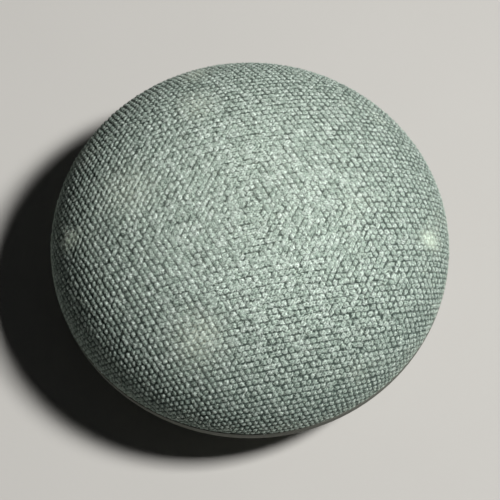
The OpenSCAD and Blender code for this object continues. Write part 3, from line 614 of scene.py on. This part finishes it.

# %% Touch wear and the painted rim highlight
crumbs = add(knit, "MapRange", {"From Min": 0.36, "From Max": 0.54}, {"Value": specks})
tapped_and_rim_highlight = add(knit, "Math", {"operation": "MULTIPLY", "use_clamp": True}, {0: seen["rubbed_and_rim_highlight"], 1: crumbs})
flecks = add(knit, "TexNoise", {"Scale": per(0.5), "Detail": 1}, {"Vector": cloth_place})
fleck = add(knit, "MapRange", {"From Min": 0.66, "From Max": 0.76, "To Max": 0.8}, {"Value": flecks})
tapped_and_rim_highlight = add(knit, "Math", {"operation": "MAXIMUM"}, {0: tapped_and_rim_highlight, 1: fleck})
# Pale touch wear and flecks, with the painted highlight along the widest line
worn_and_rim_highlight = add(knit, "Mix", {"data_type": "RGBA", 7: linear("#e2f2e0")}, {0: tapped_and_rim_highlight, 6: dulled.outputs[2]})
feed(knit, "Base Color", worn_and_rim_highlight.outputs[2])
cover.data.materials.append(knit)
print("knit nodes:", len(knit.node_tree.nodes))

# %% [markdown]
# Fuzz and lint are single filaments. With no stitches to shade them they look paler than the cloth,
# and their sheen is stronger.
# %% Loose fibre
fibre = new_finish("loose_polyester_fibre", "#cfdacb", Roughness=0.7, Sheen_Weight=0.4)
surface(fibre, ("#c8d5c6", "#dae5d6"), 2.0, (0.6, 0.8), 0.1, 0.004)
fibre_piece.data.materials.append(fibre)
print("fibre nodes:", len(fibre.node_tree.nodes))

# %% [markdown]
# ## Moulded plastics
# The base is ABS from a mould with a fine eroded texture, which makes it matt and slightly mottled.
# Nylon is smoother, with a waxy shine. The real grain is about 0.05 mm and is drawn at 0.3 mm. The
# melt leaves soft patches of tone as it flows, about 9 mm wide.
# %% Moulded plastics
FINISH = {}
MELT_PATCH = 9.0


def moulded(slot, name, colours, polish, grain, depth, IOR=1.5, **plain):
    """A moulded plastic or rubber: plain shader values, soft tones and a fine raised grain."""
    FINISH[slot] = new_finish(name, colours[0], IOR=IOR, **plain)
    surface(FINISH[slot], colours, MELT_PATCH, polish, grain, depth)


# Eroded ABS: an even, dry matt that hides fingerprints
moulded("base_plastic", "eroded_abs_base", ("#5f625a", "#666961"), (0.66, 0.82), 0.30, 0.030,
        Specular_IOR_Level=0.25)
# Plain black-green ABS of the parts behind the cloth
moulded("dark_plastic", "dark_abs_shell", ("#3a3e3b", "#424642"), (0.48, 0.62), 0.35, 0.020)
# Natural nylon: cream, slightly waxy
moulded("pale_nylon", "natural_nylon", ("#dbd5c3", "#e2ddcd"), (0.36, 0.48), 0.40, 0.010, IOR=1.53)
# Black glass-filled nylon: a faint dry bloom
moulded("black_nylon", "black_glass_nylon", ("#222323", "#2b2c2c"), (0.42, 0.58), 0.25, 0.014, IOR=1.53)
# Orange ABS flag, which has to be seen at a glance
moulded("orange_plastic", "orange_abs_flag", ("#dd6b31", "#e37539"), (0.38, 0.48), 0.30, 0.010)
# Epoxy mould compound of the chips: charcoal, with fine filler
moulded("chip_resin", "epoxy_chip_compound", ("#272a2b", "#303334"), (0.50, 0.62), 0.20, 0.008)
# Milky diffusing resin over a light chip
moulded("light_resin", "milky_light_resin", ("#f2eedd", "#f6f3e6"), (0.22, 0.32), 0.30, 0.004)
# Insulation of the two leads: soft glossy PVC
moulded("lead_insulation", "pvc_lead_insulation", ("#9c3232", "#a53a38"), (0.28, 0.38), 0.50, 0.006)
print("plastics:", sorted(FINISH))

# %% [markdown]
# The base is the only plastic that hands touch. Its lower edge is scuffed where it slides over a
# table, and that wear is paler and rougher. It depends on height only, so it is the same from any side.
# %% Scuffs along the base's lower edge
SCUFFED_TO, CLEAN_FROM = 0.8 * MM, 2.6 * MM
base = FINISH["base_plastic"]
place = add(base, "TexCoord").outputs["Object"]
height = add(base, "SeparateXYZ", {}, {0: place}).outputs["Z"]
low = add(
    base, "MapRange", {"From Min": SCUFFED_TO, "From Max": CLEAN_FROM, "To Min": 1.0, "To Max": 0.0},
    {"Value": height},
)
scratch = add(base, "Mapping", {"Scale": (1, 1, 5)}, {"Vector": place})
scuffs = add(base, "TexNoise", {"Scale": per(1.6), "Detail": 5, "Roughness": 0.7}, {"Vector": scratch})
hard = add(base, "MapRange", {"From Min": 0.50, "From Max": 0.66, "To Max": 0.55}, {"Value": scuffs})
scuffed = add(base, "Math", {"operation": "MULTIPLY"}, {0: low, 1: hard})
under = base.node_tree.nodes["Principled BSDF"].inputs["Base Color"].links[0].from_socket
marked = add(base, "Mix", {"data_type": "RGBA", 7: linear("#92958c")}, {0: scuffed, 6: under})
feed(base, "Base Color", marked.outputs[2])
print("base nodes:", len(base.node_tree.nodes))

# %% [markdown]
# ## Rubbers and foams
# Silicone and butyl are matt and pick up lint. Closed-cell foam shows its cells, about 0.3 mm wide.
# %% Rubbers and foams
# Grey silicone foot: a very soft matt, with fine dust in its grain
moulded("silicone", "grey_silicone_foot", ("#8b8f86", "#83877e"), (0.62, 0.78), 0.45, 0.020, IOR=1.41)
# Butyl roll and grommet: deep black, dull
moulded("butyl_rubber", "black_butyl", ("#1c1d1d", "#232424"), (0.55, 0.70), 0.35, 0.012, IOR=1.52)
# Gap pad: blue, slightly greasy
moulded("pad_rubber", "blue_gap_pad", ("#8aa6c4", "#94afca"), (0.50, 0.66), 0.40, 0.016, IOR=1.42)
# Closed-cell foam: the cells catch the light as fine pits
moulded("foam", "closed_cell_foam", ("#202121", "#2a2b2b"), (0.78, 0.92), 0.30, 0.020)
foam = FINISH["foam"]
cells = add(foam, "TexVoronoi", {"Scale": per(0.32)}, {"Vector": add(foam, "TexCoord").outputs["Object"]})
pits = add(foam, "Bump", {"Strength": 0.8, "Distance": 0.05 * MM, "invert": True}, {"Height": cells})
feed(foam, "Normal", pits)
print("with rubbers and foam:", len(FINISH))

# %% [markdown]
# ## Metals
# A metal's colour is its reflection, so metallic is 1 and the tone is the metal's own. What tells
# them apart is how they were worked: rolled sheet has long fine lines, a turned part has rings, and
# plating evens both out. The lines are about 0.03 mm apart and are drawn at 0.25 mm. Handling
# leaves soft patches of tone, about 6 mm wide.
# %% Metals
HANDLED_PATCH = 6.0


def worked(slot, name, colours, polish, grain, depth, stretch=(1, 1, 1), **plain):
    """A metal, with lines stretched the way that it was rolled or brushed."""
    FINISH[slot] = new_finish(name, colours[0], Metallic=1.0, **plain)
    surface(FINISH[slot], colours, HANDLED_PATCH, polish, grain, depth, stretch)


# Zinc plating: pale, a little blue, with a fine frost
worked("zinc_steel", "zinc_plated_steel", ("#bfc3c6", "#cfd2d3"), (0.28, 0.42), 0.30, 0.006)
# Tin plate of shells and springs: warmer, rolled along its length
worked("plated_steel", "tin_plated_sheet", ("#c9c8c4", "#d4d3cf"), (0.20, 0.34), 0.25, 0.004, (0.1, 1, 1))
# Satin aluminium plate with a rolled grain
worked("aluminium_plate", "satin_aluminium", ("#c6c8ca", "#d0d1d2"), (0.32, 0.46), 0.25, 0.006,
       (0.06, 1, 1))
# Drawn can of a capacitor: bright, with faint lines up its side
worked("capacitor_can", "drawn_aluminium_can", ("#cdcfd0", "#d6d8d8"), (0.16, 0.28), 0.25, 0.003,
       (1, 1, 0.1))
# Nickel on the magnet: dark and mirror-like
worked("nickel", "nickel_plated_magnet", ("#b8b4ac", "#c0bdb6"), (0.08, 0.18), 0.50, 0.002)
# Gold flash over a brass can
worked("brass_can", "gold_flashed_can", ("#cdbb84", "#d6c590"), (0.16, 0.28), 0.30, 0.003)
# Enamelled copper: orange-brown under a coat of clear enamel
worked("copper", "enamelled_copper", ("#c4814f", "#cd8c59"), (0.18, 0.30), 0.25, 0.004, (1, 1, 0.3),
       Coat_Weight=0.5)
# The basket's black lacquer over pressed steel is a paint, so it is no metal to the eye
moulded("painted_steel", "black_lacquered_steel", ("#4a4d4f", "#515456"), (0.26, 0.36), 0.50, 0.010)
# Ferrite is a fired ceramic: dark grey, dry and finely pitted
moulded("ferrite", "sintered_ferrite", ("#45484a", "#4f5254"), (0.58, 0.74), 0.22, 0.022, IOR=1.9)
print("finishes so far:", len(FINISH))

# %% [markdown]
# ## Boards and films
# A circuit board is woven glass in resin under a thin green lacquer, with copper tracks showing as
# paler lines in it. Tracks are about 0.2 mm wide and are drawn at 0.6 mm. The films are amber
# polyimide, smooth and glossy.
# %% Boards and films
for slot, name, ground, track in (
    ("board_laminate", "green_masked_laminate", "#1d5a38", "#2d7550"),
    ("white_laminate", "white_masked_laminate", "#deddd6", "#ecebe5"),
):
    board = FINISH[slot] = new_finish(name, ground, IOR=1.55, Coat_Weight=0.3, Coat_Roughness=0.2)
    place = add(board, "TexCoord").outputs["Object"]
    tones = {"Color1": linear(ground), "Color2": linear(ground), "Mortar": linear(track)}
    tracks = add(
        board, "TexBrick", {"Scale": per(9.0), "Mortar Size": 0.035, "offset": 0.37, **tones},
        {"Vector": place},
    )
    feed(board, "Base Color", tracks)
    glass = add(board, "TexWave", {"Scale": per(6.0), "Distortion": 1.5}, {"Vector": place})
    feed(board, "Roughness", add(board, "MapRange", {"To Min": 0.30, "To Max": 0.42}, {"Value": glass}))
    feed(board, "Normal", add(board, "Bump", {"Strength": 0.3, "Distance": 0.02 * MM}, {"Height": glass}))
# Polyimide film of the coil former and the flat cables
moulded("kapton", "amber_polyimide_former", ("#c88a3c", "#d0954a"), (0.18, 0.28), 0.60, 0.006, IOR=1.7)
moulded("flex_film", "amber_polyimide_flex", ("#c27f33", "#cc8b40"), (0.20, 0.30), 0.60, 0.006, IOR=1.7)
# Cast acrylic light guide: clear, with a faint edge tone
moulded("clear_acrylic", "cast_acrylic_guide", ("#eceeea", "#f1f2ee"), (0.04, 0.10), 0.80, 0.002,
        IOR=1.49, Transmission_Weight=0.85)
print("with boards and films:", len(FINISH))

# %% [markdown]
# ## Paper, cloth and fibre in the driver
# The cone is pressed pulp with short fibres in it. The spider is cotton cloth stiffened with resin,
# and its weave still shows, 0.4 mm from thread to thread. The terminal strip is pressed fibre board.
# %% Paper, cloth and fibre
# Pulp cone: charcoal, dry, with fibres lying every way
moulded("cone_paper", "pressed_pulp_cone", ("#33343a", "#3d3e40"), (0.80, 0.92), 0.35, 0.040)
# Fibre strip: brown board, faintly layered
moulded("fibre_strip", "pressed_fibre_strip", ("#b3986a", "#a58a5d"), (0.66, 0.80), 0.40, 0.024)
spider = FINISH["spider_cloth"] = new_finish("resin_treated_cotton", "#c4a566", Roughness=0.7)
over = add(spider, "TexCoord").outputs["Object"]
threads = [
    add(spider, "TexWave", {"bands_direction": axis, "Scale": per(0.4) / math.pi, "Distortion": 0.3},
        {"Vector": over})
    for axis in ("X", "Y")
]
crossed = add(spider, "Math", {"operation": "MAXIMUM"}, {0: threads[0], 1: threads[1]})
toned = add(spider, "Mix", {"data_type": "RGBA", 6: linear("#8f7038"), 7: linear("#d0b277")}, {0: crossed})
feed(spider, "Base Color", toned.outputs[2])
feed(spider, "Normal", add(spider, "Bump", {"Strength": 0.8, "Distance": 0.05 * MM}, {"Height": crossed}))
print("finishes:", len(FINISH))

# %% [markdown]
# ## Giving each part its finish
# The record says which finish each part takes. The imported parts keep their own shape.
# %% Assign the finishes
for row in frame["record"]["subparts"]:
    part = frame["nodes"][row["node"]]
    finish = knit if row["material_slot"] == "knit" else FINISH[row["material_slot"]]
    part.data.materials.clear()
    part.data.materials.append(finish)

# %% [markdown]
# ## Floor and light
# A pale floor and soft studio light keep the eye on the cloth. One lamp from the right rakes across
# the stitches and leaves the left side in shade, and a weak sky fills. The lamp leaves the far floor
# dark, so the floor glows faintly from 0.3 m outwards, up to the backdrop's tone. The backdrop is
# the sky's colour to the eye only, and adds no light.
# %% Floor
HALF_FLOOR = 3.0
GLOW_FROM, GLOW_FULL = 0.3, 2.4
BACKDROP = "#d3d3cf"
corners = [(x * HALF_FLOOR, y * HALF_FLOOR, 0) for x, y in ((-1, -1), (1, -1), (1, 1), (-1, 1))]
floor = new_piece("floor", corners, [(0, 1, 2, 3)])
paint = new_finish("pale_matt_floor", "#c7c6c2", Roughness=0.8, Emission_Color=linear(BACKDROP))
surface(paint, ("#c4c3bf", "#c9c8c4"), 60.0, (0.75, 0.85), 1.5, 0.02)
place = add(paint, "TexCoord").outputs["Object"]
outwards = add(paint, "VectorMath", {"operation": "LENGTH"}, {0: place}).outputs["Value"]
glow = add(
    paint, "MapRange", {"From Min": GLOW_FROM, "From Max": GLOW_FULL, "interpolation_type": "SMOOTHSTEP"},
    {"Value": outwards},
)
feed(paint, "Emission Strength", glow)
floor.data.materials.append(paint)
print("floor %.0f m wide" % (2 * HALF_FLOOR))


# %% Lamps
def lamp(name, azimuth, elevation, distance, size, power, colour):
    """A square soft lamp that looks at the speaker. Angles in degrees, azimuth from +X."""
    light = bpy.data.lights.new(name, "AREA")
    light.size, light.energy, light.color = size, power, linear(colour)[:3]
    holder = bpy.data.objects.new(name, light)
    bpy.context.scene.collection.objects.link(holder)
    az, el = math.radians(azimuth), math.radians(elevation)
    towards = Vector((math.cos(az) * math.cos(el), math.sin(az) * math.cos(el), math.sin(el)))
    holder.location = aim + towards * distance
    holder.rotation_euler = (-towards).to_track_quat("-Z", "Y").to_euler()
    return holder


lamp("key", 6, 51, 2.0, 0.36, 52.0, "#fffdfb")
world = bpy.data.worlds.new("studio")
world.use_nodes = True
sky = world.node_tree.nodes["Background"]
sky.inputs["Color"].default_value = linear("#eef1f4")
sky.inputs["Strength"].default_value = 0.015
backdrop = world.node_tree.nodes.new("ShaderNodeBackground")
backdrop.inputs["Color"].default_value = linear(BACKDROP)
camera_ray = world.node_tree.nodes.new("ShaderNodeLightPath").outputs["Is Camera Ray"]
either = world.node_tree.nodes.new("ShaderNodeMixShader")
for source, socket in ((camera_ray, 0), (sky.outputs[0], 1), (backdrop.outputs[0], 2)):
    world.node_tree.links.new(source, either.inputs[socket])
world.node_tree.links.new(either.outputs[0], world.node_tree.nodes["World Output"].inputs["Surface"])
bpy.context.scene.world = world
bpy.context.scene.view_settings.view_transform = "Standard"
